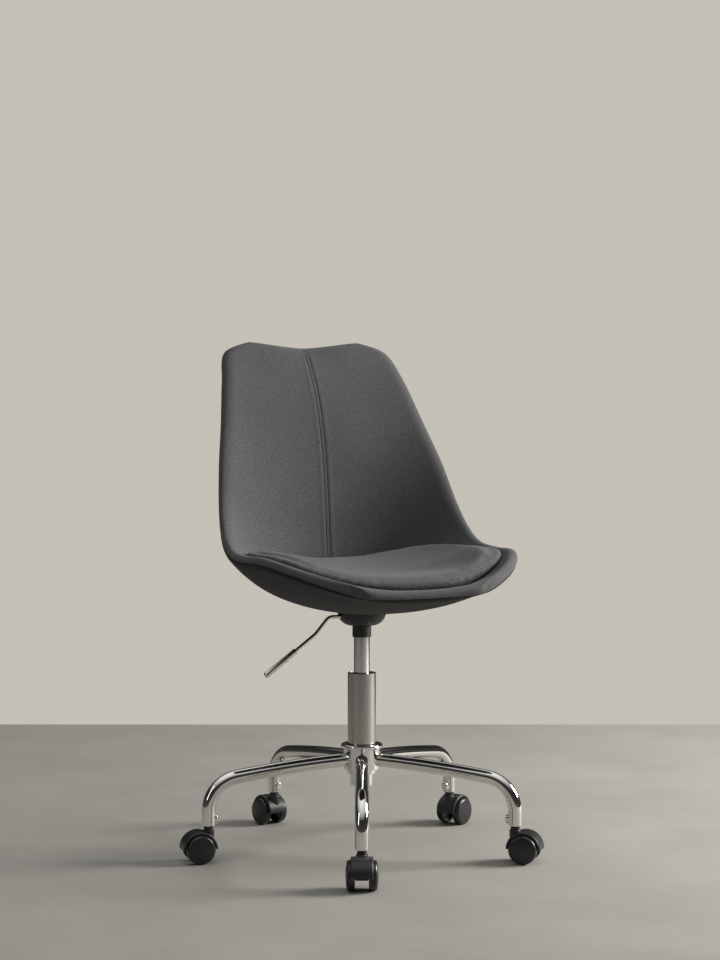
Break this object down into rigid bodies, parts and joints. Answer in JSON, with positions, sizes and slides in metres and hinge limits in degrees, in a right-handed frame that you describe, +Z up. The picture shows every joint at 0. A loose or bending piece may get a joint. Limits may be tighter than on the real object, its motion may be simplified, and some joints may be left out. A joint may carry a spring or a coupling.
{
  "type": "swivel office chair",
  "caption": "Upholstered bucket-shell office chair on a height-adjustable gas column, with a tubular star base on twin-wheel swivel casters.",
  "frame": {"origin": "on the column axis at floor level", "axes": "+Z up, the sitter faces -Y, +X to the sitter's left"},
  "size_m": [0.6236, 0.6288, 0.9071],
  "materials": {
    "leg_chrome": "polished chrome plate",
    "tube_chrome": "satin chrome plate",
    "cylinder_chrome": "polished chrome plate",
    "lever_chrome": "polished chrome plate",
    "bright_steel": "turned steel",
    "dark_steel": "black powder coat",
    "brass": "turned brass",
    "black_plastic": "satin moulded plastic",
    "hood_plastic": "satin moulded nylon",
    "wheel_nylon": "smooth nylon",
    "seal_rubber": "matt rubber",
    "shell_plastic": "moulded polypropylene",
    "inner_fabric": "heathered woven polyester",
    "outer_fabric": "heathered woven polyester",
    "seat_fabric": "heathered woven polyester over foam"
  },
  "bodies": {
    "base": {"leg_1": "leg_chrome", "leg_2": "leg_chrome", "leg_3": "leg_chrome", "leg_4": "leg_chrome", "leg_5": "leg_chrome", "stem_socket_1": "black_plastic", "stem_socket_2": "black_plastic", "stem_socket_3": "black_plastic", "stem_socket_4": "black_plastic", "stem_socket_5": "black_plastic", "socket_lock_buttons": "leg_chrome", "hub_body": "leg_chrome", "hub_ring": "leg_chrome", "hub_foot": "leg_chrome", "outer_tube": "tube_chrome", "guide_bush": "black_plastic"},
    "spindle": {"piston_rod": "bright_steel", "thrust_bearing": "bright_steel", "rod_clip": "bright_steel"},
    "seat": {"gas_cylinder": "cylinder_chrome", "cylinder_seal": "seal_rubber", "taper_socket": "dark_steel", "mount_plate": "dark_steel", "mount_screws": "bright_steel", "lever_pivot_pin": "bright_steel", "bowl_cover": "black_plastic", "column_sleeve": "black_plastic", "shell_core": "shell_plastic", "shell_inserts": "brass", "inner_upholstery": "inner_fabric", "outer_upholstery": "outer_fabric", "seat_cushion": "seat_fabric"},
    "lever": {"lever_rod": "lever_chrome", "lever_handle": "lever_chrome"},
    "release_pin": {"release_pin": "bright_steel"},
    "caster_1": {"caster_stem_1": "bright_steel", "caster_hood_1": "hood_plastic", "caster_axle_1": "bright_steel"},
    "wheel_left_1": {"caster_wheel_left_1": "wheel_nylon"},
    "wheel_right_1": {"caster_wheel_right_1": "wheel_nylon"},
    "caster_2": {"caster_stem_2": "bright_steel", "caster_hood_2": "hood_plastic", "caster_axle_2": "bright_steel"},
    "wheel_left_2": {"caster_wheel_left_2": "wheel_nylon"},
    "wheel_right_2": {"caster_wheel_right_2": "wheel_nylon"},
    "caster_3": {"caster_stem_3": "bright_steel", "caster_hood_3": "hood_plastic", "caster_axle_3": "bright_steel"},
    "wheel_left_3": {"caster_wheel_left_3": "wheel_nylon"},
    "wheel_right_3": {"caster_wheel_right_3": "wheel_nylon"},
    "caster_4": {"caster_stem_4": "bright_steel", "caster_hood_4": "hood_plastic", "caster_axle_4": "bright_steel"},
    "wheel_left_4": {"caster_wheel_left_4": "wheel_nylon"},
    "wheel_right_4": {"caster_wheel_right_4": "wheel_nylon"},
    "caster_5": {"caster_stem_5": "bright_steel", "caster_hood_5": "hood_plastic", "caster_axle_5": "bright_steel"},
    "wheel_left_5": {"caster_wheel_left_5": "wheel_nylon"},
    "wheel_right_5": {"caster_wheel_right_5": "wheel_nylon"}
  },
  "joints": [
    {"name": "seat_swivel", "type": "hinge", "parent": "base", "child": "spindle", "pos_m": [0, 0, 0.15158], "axis": [0, 0, 1], "continuous": true},
    {"name": "seat_height", "type": "slide", "parent": "spindle", "child": "seat", "axis": [0, 0, 1], "range_m": [-0.06, 0.045]},
    {"name": "release_lever", "type": "hinge", "parent": "seat", "child": "lever", "pos_m": [-0.022, 0, 0.42028], "axis": [0, 1, 0], "range_deg": [0, 6], "stiffness_Nm_per_rad": 6, "springref_deg": -2.86},
    {"name": "pin_press", "type": "slide", "parent": "seat", "child": "release_pin", "axis": [0, 0, -1], "range_m": [0, 0.0024]},
    {"name": "caster_swivel_1", "type": "hinge", "parent": "base", "child": "caster_1", "pos_m": [-0.12054, -0.25272, 0.064], "axis": [0, 0, 1], "continuous": true},
    {"name": "wheel_left_roll_1", "type": "hinge", "parent": "caster_1", "child": "wheel_left_1", "pos_m": [-0.12808, -0.26852, 0.025], "axis": [0.9026, -0.4305, 0], "continuous": true},
    {"name": "wheel_right_roll_1", "type": "hinge", "parent": "caster_1", "child": "wheel_right_1", "pos_m": [-0.12808, -0.26852, 0.025], "axis": [0.9026, -0.4305, 0], "continuous": true},
    {"name": "caster_swivel_2", "type": "hinge", "parent": "base", "child": "caster_2", "pos_m": [0.20311, -0.19274, 0.064], "axis": [0, 0, 1], "continuous": true},
    {"name": "wheel_left_roll_2", "type": "hinge", "parent": "caster_2", "child": "wheel_left_2", "pos_m": [0.2158, -0.20478, 0.025], "axis": [0.6884, 0.7254, 0], "continuous": true},
    {"name": "wheel_right_roll_2", "type": "hinge", "parent": "caster_2", "child": "wheel_right_2", "pos_m": [0.2158, -0.20478, 0.025], "axis": [0.6884, 0.7254, 0], "continuous": true},
    {"name": "caster_swivel_3", "type": "hinge", "parent": "base", "child": "caster_3", "pos_m": [0.24607, 0.1336, 0.064], "axis": [0, 0, 1], "continuous": true},
    {"name": "wheel_left_roll_3", "type": "hinge", "parent": "caster_3", "child": "wheel_left_3", "pos_m": [0.26145, 0.14195, 0.025], "axis": [-0.4772, 0.8788, 0], "continuous": true},
    {"name": "wheel_right_roll_3", "type": "hinge", "parent": "caster_3", "child": "wheel_right_3", "pos_m": [0.26145, 0.14195, 0.025], "axis": [-0.4772, 0.8788, 0], "continuous": true},
    {"name": "caster_swivel_4", "type": "hinge", "parent": "base", "child": "caster_4", "pos_m": [-0.05103, 0.27531, 0.064], "axis": [0, 0, 1], "continuous": true},
    {"name": "wheel_left_roll_4", "type": "hinge", "parent": "caster_4", "child": "wheel_left_4", "pos_m": [-0.05421, 0.29252, 0.025], "axis": [-0.9833, -0.1822, 0], "continuous": true},
    {"name": "wheel_right_roll_4", "type": "hinge", "parent": "caster_4", "child": "wheel_right_4", "pos_m": [-0.05421, 0.29252, 0.025], "axis": [-0.9833, -0.1822, 0], "continuous": true},
    {"name": "caster_swivel_5", "type": "hinge", "parent": "base", "child": "caster_5", "pos_m": [-0.2776, 0.03655, 0.064], "axis": [0, 0, 1], "continuous": true},
    {"name": "wheel_left_roll_5", "type": "hinge", "parent": "caster_5", "child": "wheel_left_5", "pos_m": [-0.29496, 0.03883, 0.025], "axis": [-0.1305, -0.9914, 0], "continuous": true},
    {"name": "wheel_right_roll_5", "type": "hinge", "parent": "caster_5", "child": "wheel_right_5", "pos_m": [-0.29496, 0.03883, 0.025], "axis": [-0.1305, -0.9914, 0], "continuous": true}
  ],
  "couplings": [
    {"joint": "pin_press", "follows": "release_lever", "m_per_rad": 0.022}
  ]
}
